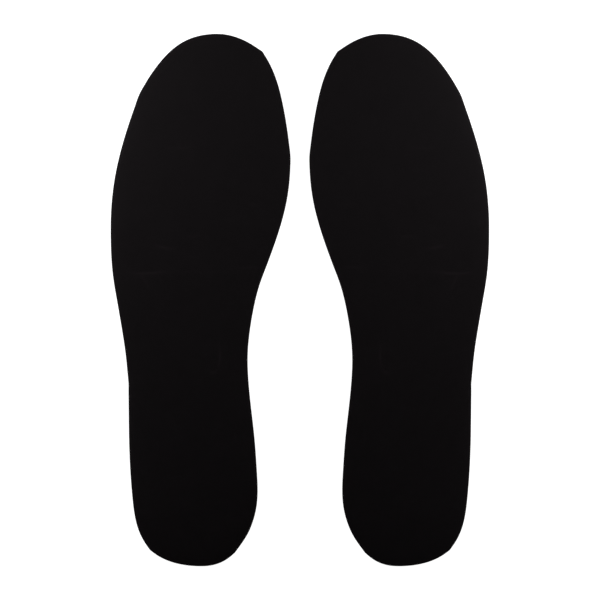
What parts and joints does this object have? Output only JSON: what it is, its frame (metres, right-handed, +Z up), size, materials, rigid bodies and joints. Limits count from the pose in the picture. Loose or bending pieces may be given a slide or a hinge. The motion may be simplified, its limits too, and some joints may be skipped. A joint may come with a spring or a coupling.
{
  "type": "cushioned insole pair",
  "caption": "Flat black cushioned insoles for a left and a right shoe: knitted top cover, foam core with gel pads at heel and ball, and a grip base. The forefoot flexes up.",
  "frame": {"origin": "on the resting surface, midway between the two insoles and halfway along their length", "axes": "+X towards the right insole, +Y along the insoles towards the toes, +Z up from the resting surface to the face that the foot stands on"},
  "size_m": [0.2062, 0.29, 0.0045],
  "materials": {
    "top_cover": "smooth matt black fine knit, laminated flat",
    "foam": "soft open-cell foam, charcoal black, matt cut edge",
    "bond_film": "thin hot-melt film, slightly glossy at the cut edge",
    "grip_base": "black rubbery sheet with small raised grip dots",
    "gel_pad": "soft dark gel, smooth and slightly tacky"
  },
  "bodies": {
    "left_back": {"left_top_cover_back": "top_cover", "left_cover_bond_back": "bond_film", "left_foam_back": "foam", "left_base_bond_back": "bond_film", "left_grip_base_back": "grip_base", "left_heel_pad": "gel_pad"},
    "left_front": {"left_top_cover_front": "top_cover", "left_cover_bond_front": "bond_film", "left_foam_front": "foam", "left_base_bond_front": "bond_film", "left_grip_base_front": "grip_base", "left_ball_pad": "gel_pad"},
    "right_back": {"right_top_cover_back": "top_cover", "right_cover_bond_back": "bond_film", "right_foam_back": "foam", "right_base_bond_back": "bond_film", "right_grip_base_back": "grip_base", "right_heel_pad": "gel_pad"},
    "right_front": {"right_top_cover_front": "top_cover", "right_cover_bond_front": "bond_film", "right_foam_front": "foam", "right_base_bond_front": "bond_film", "right_grip_base_front": "grip_base", "right_ball_pad": "gel_pad"}
  },
  "joints": [
    {"name": "left_forefoot_flex", "type": "hinge", "parent": "left_back", "child": "left_front", "pos_m": [-0.06, 0.0155, 0.0048], "axis": [1, 0, 0], "range_deg": [0, 60], "stiffness_Nm_per_rad": 0.02},
    {"name": "right_forefoot_flex", "type": "hinge", "parent": "right_back", "child": "right_front", "pos_m": [0.06, 0.0155, 0.0048], "axis": [1, 0, 0], "range_deg": [0, 60], "stiffness_Nm_per_rad": 0.02},
    {"name": "right_insole_slide", "type": "slide", "parent": "left_back", "child": "right_back", "axis": [1, 0, 0], "range_m": [0, 0.1]}
  ]
}
